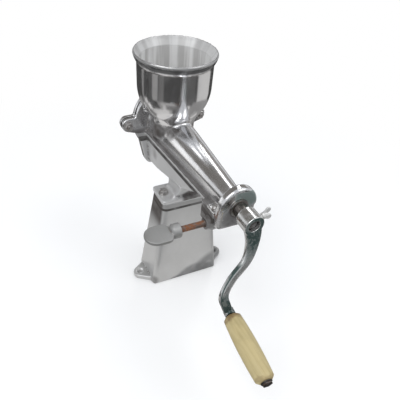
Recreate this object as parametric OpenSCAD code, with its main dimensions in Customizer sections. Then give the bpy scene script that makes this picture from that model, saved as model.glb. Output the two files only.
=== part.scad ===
// Hand-cranked screw juicer on a tapered pedestal.
// X goes across the body, Y along the screw with the crank end at -Y, Z up.
// The origin lies in the middle of the pedestal's open bottom.

/* [Pedestal] */
// Width of the pedestal at the table
ped_w = 120; // [100:1:150]
// Depth of the pedestal at the table
ped_d = 64; // [54:1:90]
// Width of the pedestal's top
ped_top_w = 82; // [76:1:96]
// Depth of the pedestal's top
ped_top_d = 42; // [38:1:52]
// Height of the pedestal
ped_h = 150; // [110:1:180]
// Wall of the pedestal
ped_wall = 4; // [3:0.5:6]
// Thickness of the pedestal's top plate
ped_top_t = 6; // [4:0.5:9]
// Corner radius of the pedestal at the table
ped_foot_r = 6; // [5:0.5:9]
// Corner radius of the pedestal at its top
ped_crown_r = 10; // [7:0.5:12]

/* [Foot tabs] */
// Distance between the two table screws
screw_span = 142; // [138:1:170]
// Radius of a table screw hole
screw_hole_r = 3.25; // [2:0.25:4.5]
// Radius of the countersink's mouth
screw_sink_r = 6.5; // [5:0.5:8]
// Radius of a tab's rounded end
tab_r = 12; // [10:0.5:15]
// Width of a tab where it leaves the wall
tab_root_w = 48; // [36:1:52]
// Thickness of a tab
tab_t = 8; // [6:0.5:12]

/* [Body] */
// Height of the screw's axis over the pedestal's top
axis_up = 70; // [66:1:84]
// Depth of the parting plane under the axis
part_drop = 12; // [10:0.5:14]
// Place of the far flange's face along Y
far_y = 79; // [78:1:92]
// Place of the arch plate's back along Y
near_y = -127; // [-136:1:-122]
// Outer radius of the body at the far flange
tube_r_far = 26; // [25:0.5:29]
// Outer radius of the body at the arch plate
tube_r_near = 13; // [12.5:0.5:15]
// Wall of the castings
wall = 3.5; // [2.5:0.25:4.5]
// Width of the lips beside the body
lip_w = 5; // [3:0.5:8]
// Thickness of one lip
lip_t = 3.5; // [2.5:0.5:5]
// Thickness of the far flanges
flange_t = 6; // [4:0.5:8]

/* [Hopper] */
// Place of the hopper's axis along Y
hopper_y = 47; // [44:1:49]
// Height of the rim over the screw's axis
rim_up = 95; // [86:1:120]
// Outer radius of the rim
rim_r = 52; // [50:0.5:60]
// Height of the rim's band
rim_h = 9; // [6:0.5:12]
// Outer radius of the cup
cup_r = 47.6; // [44:0.5:49]
// Height over the axis where the cup starts to close
cup_up = 58; // [54:1:70]
// Radius of the curve that closes the cup
cup_arc_r = 44.6; // [40:0.5:50]
// Outer radius of the neck
neck_r = 29; // [28:0.5:31]
// Height over the axis where the neck starts to widen
neck_up = 9; // [6:0.5:14]
// Radius of the throat above the screw
throat_r = 17; // [12:0.5:19]

/* [Far end] */
// Radius of the far flange
flange_r = 45; // [43:0.5:47]
// Distance from the axis to an ear's bolt
ear_x = 55; // [53:0.5:60]
// Radius of an ear
ear_r = 9; // [7.5:0.5:11]
// Thickness of the end cover
cover_t = 7; // [5:0.5:10]
// Thickness of the cover's gasket
gasket_t = 1; // [0.5:0.25:2]
// Radius of the bearing boss on the cover
boss_r = 15; // [13:0.5:18]
// Depth of the bearing boss behind the cover
boss_h = 10; // [8:0.5:16]

/* [Trough] */
// Depth of the trough under the parting plane at the far end
trough_far = 46; // [40:1:48]
// Depth of the trough under the parting plane at the neck
trough_mid = 29; // [27:1:34]
// Place along Y where the trough's floor turns up
turn_y = -20; // [-26:1:-14]
// Place along Y where the trough's floor meets the lips
rise_y = -78; // [-86:1:-72]
// Outer radius of the juice spout
spout_r = 9; // [7:0.5:11]
// Length of the juice spout beside the trough
spout_l = 16; // [10:1:24]

/* [Foot flange] */
// Thickness of the foot flange
foot_t = 5.5; // [4:0.5:8]
// Half width of the neck at its waist
waist_x = 20; // [16:0.5:22]
// Radius of the neck's hollow sides
waist_r = 9; // [6:0.5:12]
// Distance from the middle to a foot bolt
foot_bolt_x = 32; // [31:0.5:34]

/* [Arch plate and chute] */
// Radius of the arch plate
arch_r = 24; // [23:0.5:28]
// Radius of the arch plate's front corners
arch_round = 6; // [3:0.5:7]
// Depth of the arch plate under the axis
arch_drop = 26.5; // [25:0.5:30]
// Thickness of the arch plate
arch_t = 10.7; // [8:0.5:14]
// Half width of the pulp chute
chute_x = 25; // [24:0.5:28]
// Length of the pulp chute along Y
chute_l = 30; // [26:1:34]
// Depth of the pulp chute under the parting plane
chute_h = 22; // [20:0.5:30]

/* [Screw and strainer] */
// Radius of the crank shaft
shaft_r = 7; // [6:0.25:8]
// Pitch of the screw's flight
pitch = 27; // [22:1:32]
// Radius of the screw's core at the far end
core_r_far = 9.5; // [8.5:0.5:11]
// Radius of the rear journal
journal_r = 7; // [5:0.25:8.5]
// Wall of the bushings
bush_wall = 3; // [2:0.25:4]
// Thickness of the strainer's sheet
sheet_t = 1.5; // [1:0.25:2]
// Width of a strainer slot
slot_w = 2; // [1:0.25:3]
// Length of a strainer slot
slot_l = 9; // [6:0.5:10]

/* [Crank] */
// Radius of the crank's hub
hub_r = 12; // [11:0.5:15]
// Length of the crank's hub
hub_l = 21; // [18:1:28]
// Radius of the hub's neck
hub_neck_r = 9; // [8.5:0.25:11]
// Length of the hub's neck
hub_neck_l = 12; // [6:1:16]
// Radius of the crank circle
crank_r = 111; // [95:1:130]
// Angle of the crank from straight down, towards -X
crank_angle = 14; // [0:1:90]
// Outward set of the handle's end from the hub's face
arm_out = 32; // [24:1:44]
// Thickness of the arm
arm_t = 8; // [6:0.5:10]
// Width of the arm at its end
arm_w = 12; // [10:0.5:15]
// Radius of the shank of the crank's wing screw
set_r = 2.5; // [2:0.25:3]

/* [Handle] */
// Length of the wooden grip
grip_l = 92; // [76:1:116]
// Largest radius of the grip
grip_r = 13; // [11.5:0.5:16]
// Radius of the grip's ends
grip_end_r = 10.5; // [9:0.5:11]
// Lean of the handle pin, away from the shaft's line
pin_lean = 5; // [0:0.5:8]
// Radius of the handle pin
pin_r = 4; // [3:0.25:5]

/* [Choke screw] */
// Radius of the choke screw
choke_r = 4; // [3:0.25:5]
// Free length of the choke screw beside its lug
choke_out = 32; // [26:1:44]
// Length of the spade head
spade_l = 44; // [34:1:54]
// Half width of the spade
spade_r = 15; // [11:0.5:18]
// Radius of the spade's boss
spade_boss_r = 9; // [7:0.5:11]
// Length of the spade's boss
spade_boss_l = 9; // [7:0.5:12]
// Height of the choke screw over the chute's mouth
choke_up = 6; // [5.5:0.5:8]

/* [Fasteners] */
// Radius of the foot bolts
foot_bolt_r = 3.25; // [2.75:0.25:4]
// Radius of the cover bolts
cover_bolt_r = 3; // [2:0.25:3.5]
// Radius of the lip bolts
lip_bolt_r = 2.5; // [2:0.25:3]
// Clearance round a bolt
bolt_gap = 0.25; // [0.1:0.05:0.5]

/* [Clearances] */
// Radial clearance of a running shaft
run_gap = 0.06; // [0.04:0.01:0.1]
// Clearance beside turning or sliding faces
side_gap = 0.3; // [0.2:0.05:0.6]
// Clearance between the screw and the strainer
sieve_gap = 0.8; // [0.5:0.1:1.5]

/* [Hidden] */
FN = 96;
FACETS = 32;
EPS = 0.01;
axis_z = ped_h + axis_up;
part_z = axis_z - part_drop;
foot_z = ped_h + foot_t;

// Far end stack along Y
flange_y = far_y - flange_t;
cover_y = far_y + gasket_t;
cover_back = cover_y + cover_t;
saddle_x = neck_r + 2.5;
saddle_up = neck_up + 8;
tail_x = 20;
tail_r = 11;
apron_r = flange_r - 4;
apron_lap = 3;
floor_x = 18;
floor_r = 7;
low_bolt_z = part_z - trough_far + wall + 1.8 * cover_bolt_r;

// Near end stack along Y
arch_y = near_y - arch_t;
chute_y = near_y + chute_l;
chute_z = part_z - chute_h;
thrust_t = 1.5;
hub_y = arch_y - thrust_t - side_gap;
hub_face_y = hub_y - hub_neck_l - hub_l;
shaft_end_y = hub_face_y + 5;
lip_bolt_x = chute_x - wall - lip_bolt_r + 1.2;
lip_bolt_y = near_y + 6.5;
post_r = lip_bolt_r + 2.2;
post_h = 10;

// Radii along the body
function tube_r(y) = tube_r_near + (tube_r_far - tube_r_near) * (y - near_y) / (far_y - near_y);
function bore_r(y) = tube_r(y) - wall;
function sieve_out_r(y) = bore_r(y) - side_gap;
function screw_r(y) = sieve_out_r(y) - sheet_t - sieve_gap;
function lip_x(y) = tube_r(y) + lip_w;

// Bearings
bush_r = shaft_r + run_gap + bush_wall;
rear_bush_r = journal_r + run_gap + bush_wall;
screw_far_y = far_y - flange_t / 2;
screw_near_y = chute_y + 3;
journal_y = cover_back + boss_h - wall - side_gap;

// Crank and handle
pin_x = -crank_r * sin(crank_angle);
pin_z = axis_z - crank_r * cos(crank_angle);
arm_end_y = hub_face_y - arm_out;
boss_l = 10;
grip_set = 2.5;
end_washer_t = 1;
end_nut_t = 2.5;
set_y = hub_face_y + 8;
set_tilt = 70;
set_seat = 0.3;

// Choke
choke_y = near_y + 8.5;
choke_z = chute_z + choke_up;
choke_lug_x = chute_x + 6;
choke_tip_x = chute_x - wall - 6;
pad_t = 6;
pad_seat = 2;
pad_x = -choke_tip_x - pad_seat;
spade_x = -choke_lug_x - choke_out;

// Cup: a bulging arc above meets a hollow arc below at one slope
cup_mid = cup_r - cup_arc_r;
neck_dx = neck_r - cup_mid;
cup_rise = cup_up - neck_up;
neck_arc_r = (neck_dx * neck_dx + cup_rise * cup_rise - cup_arc_r * cup_arc_r)
    / (2 * (cup_arc_r - neck_dx));
neck_mid = neck_r + neck_arc_r;
turn_angle = atan2(cup_rise, neck_mid - cup_mid);

// Trough
mid_z = part_z - trough_mid;

// Strainer
slot_step = 13;
slot_far_y = flange_y - slot_step;
slot_rows = floor((slot_far_y - rise_y - 2 * slot_step) / slot_step);
slot_angle = 18;

// Screw's flight
turn_steps = 18;
screw_l = screw_far_y - screw_near_y;
screw_rows = floor(screw_l / pitch * turn_steps);

// Fasteners, and a length past the whole model
washer_t = 1.2;
REACH = 1000;
HEX_R = 1.85;
WASHER_R = 2.1;
foot_nut_h = 1.6 * foot_bolt_r;

// Centre line of the arm: across the arm, along the crank radius, outwards, width
ARM = [
    [2, 4, 0, 22], [10, 22, 1.5, 19], [9, 45, 8, 15], [-7, 68, 15.5, 13.5],
    [-14.5, 86, 23, 13], [-7, 101, 28, 12.5], [0, 111, 29, 12],
];
ARM_END = ARM[len(ARM) - 1];
boss_proud = 3;
arm_scale = crank_r / ARM_END[1];
out_scale = (arm_out - boss_proud) / ARM_END[2];
arm_n = 5;
section_n = 12;

// Points of an arc from angle a to angle b round c
function arc(c, r, a, b, n) = [for (i = [0:n]) c + r * [cos(a + (b - a) * i / n), sin(a + (b - a) * i / n)]];

// Places children along the screw's axis at y, with their +Z towards the crank
module on_axis(y) {
    translate([0, y, axis_z]) rotate([90, 0, 0]) children();
}

// Keeps what lies above height z, or below it
module above(z) {
    intersection() {
        children();
        translate([-REACH, -REACH, z]) cube([2 * REACH, 2 * REACH, REACH]);
    }
}

module below(z) {
    intersection() {
        children();
        translate([-REACH, -REACH, z - REACH]) cube([2 * REACH, 2 * REACH, REACH]);
    }
}

// Flat bar over the plan of the body, between two places along Y and two heights
module plan_bar(y1, y2, x1, x2, z1, z2) {
    translate([0, 0, z1]) linear_extrude(height = z2 - z1)
        polygon([[-x1, y1], [x1, y1], [x2, y2], [-x2, y2]]);
}

// Arched tunnel form: half a cone over straight sides down to height z
module tunnel(y1, y2, r1, r2, z) {
    above(axis_z) on_axis(y1) cylinder(h = y1 - y2, r1 = r1, r2 = r2, $fn = FN);
    plan_bar(y1, y2, r1, r2, z, axis_z);
}

// Outline of the far flanges and the cover, seen along the screw's axis
module flange_outline() {
    circle(r = flange_r, $fn = 64);
    for (s = [-1, 1]) hull() {
        translate([s * ear_x, 1]) circle(r = ear_r, $fn = FACETS);
        translate([s * (flange_r - 1.5 * ear_r), -2]) circle(r = 1.4 * ear_r, $fn = FACETS);
    }
    hull() {
        translate([0, apron_r - flange_r]) circle(r = apron_r, $fn = 64);
        for (s = [-1, 1])
            translate([s * tail_x, part_z - axis_z - trough_far - apron_lap + tail_r])
                circle(r = tail_r, $fn = FACETS);
    }
}

// Plate with the flange outline from y towards the crank, cut away under the cup
module flange_plate(y, t) {
    difference() {
        on_axis(y) linear_extrude(height = t) flange_outline();
        translate([-saddle_x, y - t - 1, axis_z + saddle_up]) cube([2 * saddle_x, t + 2, 60]);
    }
}

module ear_holes(y, t, r) {
    for (s = [-1, 1])
        on_axis(y + 1) translate([s * ear_x, 1, 0]) cylinder(h = t + 2, r = r, $fn = FACETS);
}

module low_hole(y, t, r) {
    translate([0, y + 1, low_bolt_z]) rotate([90, 0, 0]) cylinder(h = t + 2, r = r, $fn = FACETS);
}

// Hexagonal head or nut standing on z = 0
module hex(r, h) {
    cylinder(h = h, r = r, $fn = 6);
}

// Pedestal

module pedestal_form(inset, z1, z2) {
    hull() {
        for (sx = [-1, 1], sy = [-1, 1]) {
            translate([sx * (ped_w / 2 - ped_foot_r), sy * (ped_d / 2 - ped_foot_r), z1])
                cylinder(h = 0.1, r = ped_foot_r - inset, $fn = FACETS);
            translate([sx * (ped_top_w / 2 - ped_crown_r), sy * (ped_top_d / 2 - ped_crown_r), z2 - 0.1])
                cylinder(h = 0.1, r = ped_crown_r - inset, $fn = FACETS);
        }
    }
}

module foot_tab(s) {
    root_x = ped_w / 2 - ped_wall;
    linear_extrude(height = tab_t) hull() {
        translate([s * screw_span / 2, 0]) circle(r = tab_r, $fn = 48);
        translate([s * root_x, 0]) square([1, tab_root_w], center = true);
    }
}

module pedestal() color([0.7, 0.7, 0.7]) {
    difference() {
        union() {
            pedestal_form(0, 0, ped_h);
            foot_tab(-1);
            foot_tab(1);
        }
        translate([0, 0, -EPS]) pedestal_form(ped_wall, 0, ped_h - ped_top_t);
        for (s = [-1, 1]) {
            translate([s * screw_span / 2, 0, -1]) cylinder(h = tab_t + 2, r = screw_hole_r, $fn = 48);
            translate([s * screw_span / 2, 0, tab_t - screw_sink_r + screw_hole_r])
                cylinder(h = screw_sink_r - screw_hole_r + EPS, r1 = screw_hole_r, r2 = screw_sink_r + EPS,
                         $fn = 48);
            translate([s * foot_bolt_x, 0, ped_h - ped_top_t - 1])
                cylinder(h = ped_top_t + 2, r = foot_bolt_r + bolt_gap, $fn = FACETS);
            // room for the nut beside the wall
            translate([s * foot_bolt_x, 0, ped_h - ped_top_t - 2 * foot_nut_h])
                cylinder(h = 2 * foot_nut_h, r = HEX_R * foot_bolt_r + side_gap, $fn = FACETS);
        }
    }
}

// Upper housing: hopper, body, lips, far flange and arch plate in one casting

// Side of the cup from the neck upwards, set inwards by t
function cup_side(t) = concat(
    arc([neck_mid, neck_up], neck_arc_r + t, 180, 180 - turn_angle, 6),
    arc([cup_mid, cup_up], cup_arc_r - t, -turn_angle, 0, 7)
);

module hopper_outside() {
    rotate_extrude($fn = FN) polygon(concat(
        [[0, -4], [neck_r, -4]],
        cup_side(0),
        [[cup_r, rim_up - rim_h], [cup_r + 1.5, rim_up - rim_h], [rim_r - 1, rim_up - 0.6 * rim_h],
         [rim_r, rim_up - 2], [rim_r - 1.2, rim_up], [0, rim_up]]
    ));
}

module hopper_inside() {
    rotate_extrude($fn = FN) polygon(concat(
        [[0, -1], [throat_r, -1], [throat_r, neck_up], [neck_r - wall, neck_up + 6]],
        [for (p = cup_side(wall)) if (p[1] > neck_up + 7) p],
        [[cup_r - wall, rim_up - rim_h], [rim_r - 3.2, rim_up - 3], [rim_r - 1.8, rim_up + EPS],
         [0, rim_up + EPS]]
    ));
}

// Hollow fillet where the body meets the arch plate
module plate_flare() {
    r = 8;
    above(axis_z) on_axis(near_y + r) rotate_extrude($fn = FN) polygon(concat(
        [[tube_r_near - 2, 0], [tube_r(near_y + r), 0]],
        arc([tube_r_near + r, 0], r, 180, 90, 5),
        [[tube_r_near - 2, r]]
    ));
}

module arch_plate() {
    above(axis_z) on_axis(near_y + EPS) {
        cylinder(h = arch_t - 1.5 + EPS, r = arch_r, $fn = FN);
        translate([0, 0, arch_t - 1.5]) cylinder(h = 1.5 + EPS, r1 = arch_r, r2 = arch_r - 1.5, $fn = FN);
    }
    // flat at the back, against the chute's wall
    translate([0, 0, axis_z - arch_drop]) linear_extrude(height = arch_drop) intersection() {
        hull() {
            translate([-arch_r, near_y - 1]) square([2 * arch_r, 1]);
            for (s = [-1, 1])
                translate([s * (arch_r - arch_round), arch_y + arch_round]) circle(r = arch_round, $fn = 48);
        }
        translate([-arch_r, arch_y]) square([2 * arch_r, arch_t]);
    }
}

module upper_housing() color([0.78, 0.78, 0.79]) {
    difference() {
        union() {
            translate([0, hopper_y, axis_z]) hopper_outside();
            tunnel(far_y, near_y, tube_r_far, tube_r_near, part_z);
            plan_bar(far_y, near_y, lip_x(far_y), lip_x(near_y), part_z, part_z + lip_t);
            translate([-chute_x, near_y, part_z]) cube([2 * chute_x, chute_l, lip_t]);
            above(part_z) flange_plate(far_y, flange_t);
            plate_flare();
            arch_plate();
        }
        translate([0, hopper_y, axis_z]) hopper_inside();
        tunnel(far_y + 1, near_y + wall, bore_r(far_y + 1), bore_r(near_y + wall), part_z - 1);
        on_axis(near_y + wall + 1) cylinder(h = arch_t + wall + 2, r = bush_r, $fn = FN);
        ear_holes(far_y, flange_t, cover_bolt_r + bolt_gap);
        for (s = [-1, 1])
            translate([s * lip_bolt_x, lip_bolt_y, part_z - 1])
                cylinder(h = lip_t + 2, r = lip_bolt_r + bolt_gap, $fn = FACETS);
    }
}

// Juice trough: trough, lips, pulp chute, neck and foot flange in one casting

// Floor of the trough seen from the side, lifted by t, from the far end to the lips
function floor_line(t) = concat(
    [[far_y, part_z - trough_far + t]],
    [for (i = [0:6]) let (u = i / 6)
        (1 - u) * (1 - u) * [turn_y, mid_z + t]
        + 2 * u * (1 - u) * [turn_y - 28, mid_z + 6 + t]
        + u * u * [rise_y, part_z - lip_t + t]]
);

module trough_side(t, top, y_far) {
    rotate([90, 0, 90]) translate([0, 0, -60]) linear_extrude(height = 120)
        polygon(concat(
            [[rise_y, top], [y_far, top], [y_far, part_z - trough_far + t]],
            [for (p = floor_line(t)) if (p[0] < far_y) p]
        ));
}

// Section of the trough across the body: flat sides leaning in, rounded at the floor
module trough_section(t) {
    side = tube_r_far + 1 - t;
    foot = floor_x + floor_r - t;
    floor_z = part_z - trough_far + t;
    translate([0, far_y + 1, 0]) rotate([90, 0, 0]) linear_extrude(height = far_y - rise_y + 2)
        polygon(concat(
            [[side, part_z + 1]],
            [for (p = arc([foot - floor_r, floor_z + floor_r], floor_r, 0, -90, 5)) p],
            [for (p = arc([floor_r - foot, floor_z + floor_r], floor_r, -90, -180, 5)) p],
            [[-side, part_z + 1]]
        ));
}

module trough_form(t, top, y_far) {
    intersection() {
        trough_side(t, top, y_far);
        trough_section(t);
        plan_bar(far_y + 1, rise_y - 1, tube_r(far_y) + 1.5 - t, tube_r(rise_y) + 1.5 - t,
                 part_z - 80, part_z + 2);
    }
}

// Neck: its front view and its side view crossed
module neck() {
    top_z = mid_z + wall - 0.5;
    base_x = waist_x + waist_r;
    h = top_z - foot_z;
    back = ped_top_d / 2 - 2;
    intersection() {
        translate([0, 60, 0]) rotate([90, 0, 0]) linear_extrude(height = 120) polygon(concat(
            [[-base_x, foot_z - 1], [base_x, foot_z - 1]],
            arc([base_x, foot_z + waist_r], waist_r, -90, -180, 5),
            [[waist_x, top_z - 3], [waist_x + 2, top_z], [-waist_x - 2, top_z], [-waist_x, top_z - 3]],
            arc([-base_x, foot_z + waist_r], waist_r, 0, -90, 5)
        ));
        rotate([90, 0, 90]) translate([0, 0, -60]) linear_extrude(height = 120) polygon(concat(
            [[back, foot_z - 1]],
            arc([back, foot_z + waist_r], waist_r, -90, -150, 5),
            [[back - waist_r, foot_z + h], [turn_y - 14, foot_z + h]],
            [[2 - back, foot_z + 3], [-back, foot_z - 1]]
        ));
    }
}

module foot_flange() {
    r = 4;
    translate([0, 0, ped_h]) linear_extrude(height = foot_t) hull()
        for (sx = [-1, 1], sy = [-1, 1])
            translate([sx * (ped_top_w / 2 - r), sy * (ped_top_d / 2 - r)]) circle(r = r, $fn = FACETS);
}

module chute_walls() {
    difference() {
        union() {
            translate([-chute_x, near_y, chute_z]) cube([2 * chute_x, chute_l, chute_h]);
            translate([-choke_lug_x, choke_y, choke_z]) rotate([0, 90, 0])
                cylinder(h = choke_lug_x - chute_x + 1, r = choke_r + 4, $fn = 48);
        }
        translate([wall - chute_x, near_y + wall, chute_z - 10])
            cube([2 * (chute_x - wall), chute_l - 2 * wall, chute_h + 11]);
    }
    for (s = [-1, 1])
        translate([s * lip_bolt_x - post_r, near_y + wall - 1, part_z - post_h])
            cube([2 * post_r, lip_bolt_y - near_y - wall + 3, post_h]);
}

module spout() {
    translate([0, far_y - 22, part_z - trough_far + spout_r + 1]) rotate([0, 90, 0])
        cylinder(h = floor_x + floor_r + spout_l, r = spout_r, $fn = 48);
}

module spout_bore() {
    translate([0, far_y - 22, part_z - trough_far + spout_r + 1]) rotate([0, 90, 0])
        cylinder(h = floor_x + floor_r + spout_l + 1, r = spout_r - 2.5, $fn = 48);
}

module juice_trough() color([0.74, 0.74, 0.75]) {
    difference() {
        union() {
            trough_form(0, part_z, far_y);
            plan_bar(far_y, chute_y - EPS, lip_x(far_y), lip_x(chute_y), part_z - lip_t, part_z);
            below(part_z) flange_plate(far_y, flange_t);
            neck();
            foot_flange();
            chute_walls();
            spout();
        }
        trough_form(wall, part_z + 1, far_y - flange_t);
        spout_bore();
        // seat of the strainer in the far flange and on the chute's back wall
        on_axis(far_y + 1)
            cylinder(h = flange_t + 2, r1 = bore_r(far_y + 1), r2 = bore_r(flange_y - 1), $fn = FN);
        plan_bar(flange_y + 1, chute_y, bore_r(flange_y), bore_r(chute_y), part_z - lip_t - 1, part_z + 1);
        low_hole(far_y, flange_t, cover_bolt_r + bolt_gap);
        for (s = [-1, 1]) {
            translate([s * foot_bolt_x, 0, ped_h - 1])
                cylinder(h = foot_t + 2, r = foot_bolt_r + bolt_gap, $fn = FACETS);
            translate([s * foot_bolt_x, 0, foot_z])
                cylinder(h = 12, r = WASHER_R * foot_bolt_r + side_gap, $fn = FACETS);
            translate([s * lip_bolt_x, lip_bolt_y, part_z - post_h + 1])
                cylinder(h = post_h, r = lip_bolt_r + bolt_gap, $fn = FACETS);
        }
        translate([-choke_lug_x - 1, choke_y, choke_z]) rotate([0, 90, 0])
            cylinder(h = choke_lug_x, r = choke_r + run_gap, $fn = 48);
    }
}

// Strainer: perforated half cone under the screw

module strainer() color([0.72, 0.73, 0.75]) {
    y1 = far_y - side_gap;
    y2 = chute_y + side_gap;
    difference() {
        below(axis_z - side_gap) on_axis(y1) difference() {
            cylinder(h = y1 - y2, r1 = sieve_out_r(y1), r2 = sieve_out_r(y2), $fn = FN);
            translate([0, 0, -EPS])
                cylinder(h = y1 - y2 + 2 * EPS,
                         r1 = sieve_out_r(y1) - sheet_t, r2 = sieve_out_r(y2) - sheet_t, $fn = FN);
        }
        for (i = [0:slot_rows], a = [-2:2])
            translate([0, slot_far_y - slot_step * i, axis_z]) rotate([0, 180 + slot_angle * a, 0])
                translate([-slot_w / 2, -slot_l / 2, shaft_r]) cube([slot_w, slot_l, tube_r_far]);
    }
}

// Auger: tapered core with one helical flight, rear journal and crank shaft

// Height of the flight at a phase of the turn, from 0 on the core to 1 on the crest
function flight(p) = max(0, min(1, 1.9 - 9 * abs(p - 0.5)));
function screw_point(i, j) =
    let (v = screw_l * j / screw_rows,
         y = screw_far_y - v,
         core = core_r_far + (shaft_r + 0.5 - core_r_far) * j / screw_rows,
         phase = (j - i) / turn_steps,
         ends = min(1, j / 5, (screw_rows - j) / 5),
         r = core + max(0, screw_r(y) - core) * flight(phase - floor(phase)) * ends,
         a = 360 * i / turn_steps)
    [r * cos(a), r * sin(a), v];

module flight_body() {
    n = turn_steps;
    m = screw_rows;
    polyhedron(
        points = [for (j = [0:m], i = [0:n - 1]) screw_point(i, j)],
        faces = concat(
            [[for (i = [0:n - 1]) i]],
            [[for (i = [0:n - 1]) m * n + n - 1 - i]],
            [for (j = [0:m - 1], i = [0:n - 1])
                [j * n + i, (j + 1) * n + (i + 1) % n, j * n + (i + 1) % n]],
            [for (j = [0:m - 1], i = [0:n - 1])
                [j * n + i, (j + 1) * n + i, (j + 1) * n + (i + 1) % n]]
        )
    );
}

module auger() color([0.76, 0.76, 0.77]) {
    difference() {
        union() {
            on_axis(screw_far_y) flight_body();
            on_axis(journal_y) cylinder(h = journal_y - screw_far_y + 1, r = journal_r, $fn = 64);
            on_axis(screw_near_y + 1) cylinder(h = screw_near_y + 1 - shaft_end_y, r = shaft_r, $fn = 64);
        }
        // flat for the crank's wing screw
        rotate_crank() translate([shaft_r - 1, shaft_end_y - 1, -shaft_r]) cube([3, 16, 2 * shaft_r]);
    }
}

// Places children in the frame of the crank's wing screw: X points out of the hub
module rotate_crank() {
    translate([0, 0, axis_z]) rotate([0, set_tilt - 90, 0]) children();
}

// Far end

module end_cover() color([0.75, 0.75, 0.76]) {
    difference() {
        union() {
            flange_plate(cover_back, cover_t);
            on_axis(cover_back + boss_h) cylinder(h = boss_h + 1, r1 = boss_r - 1, r2 = boss_r, $fn = FN);
        }
        on_axis(cover_back + boss_h - wall) cylinder(h = cover_t + boss_h, r = rear_bush_r, $fn = FN);
        ear_holes(cover_back, cover_t, cover_bolt_r + bolt_gap);
        low_hole(cover_back, cover_t, cover_bolt_r + bolt_gap);
    }
}

module cover_gasket() color([0.2, 0.2, 0.2]) {
    difference() {
        flange_plate(cover_y, gasket_t);
        on_axis(cover_y + 1) cylinder(h = gasket_t + 2, r = bore_r(far_y) - 1, $fn = FN);
        ear_holes(cover_y, gasket_t, cover_bolt_r + bolt_gap);
        low_hole(cover_y, gasket_t, cover_bolt_r + bolt_gap);
    }
}

module rear_bushing() color([0.75, 0.6, 0.35]) {
    y = cover_back + boss_h - wall;
    on_axis(y) difference() {
        cylinder(h = cover_t + boss_h - wall, r = rear_bush_r, $fn = FN);
        translate([0, 0, -1]) cylinder(h = cover_t + boss_h, r = journal_r + run_gap, $fn = FN);
    }
}

module front_bushing() color([0.75, 0.6, 0.35]) {
    on_axis(near_y + wall) difference() {
        cylinder(h = arch_t + wall, r = bush_r, $fn = FN);
        translate([0, 0, -1]) cylinder(h = arch_t + wall + 2, r = shaft_r + run_gap, $fn = FN);
    }
}

module thrust_washer() color([0.7, 0.7, 0.72]) {
    on_axis(arch_y) difference() {
        cylinder(h = thrust_t, r = hub_neck_r + 2, $fn = FN);
        translate([0, 0, -1]) cylinder(h = thrust_t + 2, r = shaft_r + side_gap, $fn = FN);
    }
}

// Fasteners

module washer(r, t) {
    difference() {
        cylinder(h = t, r = WASHER_R * r, $fn = FACETS);
        translate([0, 0, -1]) cylinder(h = t + 2, r = r + bolt_gap, $fn = FACETS);
    }
}

// Bolt whose head stands on z = 0 and whose shank hangs below
module bolt(r, l) {
    translate([0, 0, -l]) cylinder(h = l + 1, r = r, $fn = FACETS);
    hex(HEX_R * r, 1.3 * r);
}

module cover_bolts() color([0.66, 0.66, 0.68]) {
    grip = cover_t + gasket_t + flange_t;
    for (s = [-1, 1])
        on_axis(cover_back + washer_t) translate([s * ear_x, 1, 0]) rotate([180, 0, 0])
            bolt(cover_bolt_r, grip + washer_t + 2 * cover_bolt_r + 1);
    translate([0, cover_back + washer_t, low_bolt_z]) rotate([-90, 0, 0]) bolt(cover_bolt_r, grip + washer_t);
}

module cover_washers() color([0.66, 0.66, 0.68]) {
    for (s = [-1, 1])
        on_axis(cover_back + washer_t) translate([s * ear_x, 1, 0]) washer(cover_bolt_r, washer_t);
    translate([0, cover_back + washer_t, low_bolt_z]) rotate([90, 0, 0]) washer(cover_bolt_r, washer_t);
}

module cover_nuts() color([0.66, 0.66, 0.68]) {
    for (s = [-1, 1])
        on_axis(flange_y) translate([s * ear_x, 1, 0]) difference() {
            hex(HEX_R * cover_bolt_r, 1.6 * cover_bolt_r);
            translate([0, 0, -1])
                cylinder(h = 2 * cover_bolt_r + 2, r = cover_bolt_r + bolt_gap / 5, $fn = FACETS);
        }
}

module lip_bolts() color([0.66, 0.66, 0.68]) {
    for (s = [-1, 1])
        translate([s * lip_bolt_x, lip_bolt_y, part_z + lip_t]) bolt(lip_bolt_r, lip_t + post_h - 2);
}

module foot_bolts() color([0.6, 0.58, 0.55]) {
    for (s = [-1, 1])
        translate([s * foot_bolt_x, 0, foot_z + washer_t])
            bolt(foot_bolt_r, washer_t + foot_t + ped_top_t + 2 * foot_bolt_r);
}

module foot_washers() color([0.62, 0.62, 0.63]) {
    for (s = [-1, 1]) translate([s * foot_bolt_x, 0, foot_z]) washer(foot_bolt_r, washer_t);
}

module foot_nuts() color([0.62, 0.62, 0.63]) {
    for (s = [-1, 1])
        translate([s * foot_bolt_x, 0, ped_h - ped_top_t - foot_nut_h]) difference() {
            hex(HEX_R * foot_bolt_r, foot_nut_h);
            translate([0, 0, -1]) cylinder(h = foot_nut_h + 2, r = foot_bolt_r + bolt_gap / 5, $fn = FACETS);
        }
}

// Choke: cross screw, spade head and the pad that narrows the pulp chute

module choke_screw() color([0.42, 0.27, 0.18]) {
    translate([spade_x, choke_y, choke_z]) rotate([0, 90, 0])
        cylinder(h = -choke_tip_x - spade_x, r = choke_r, $fn = 48);
}

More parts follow.
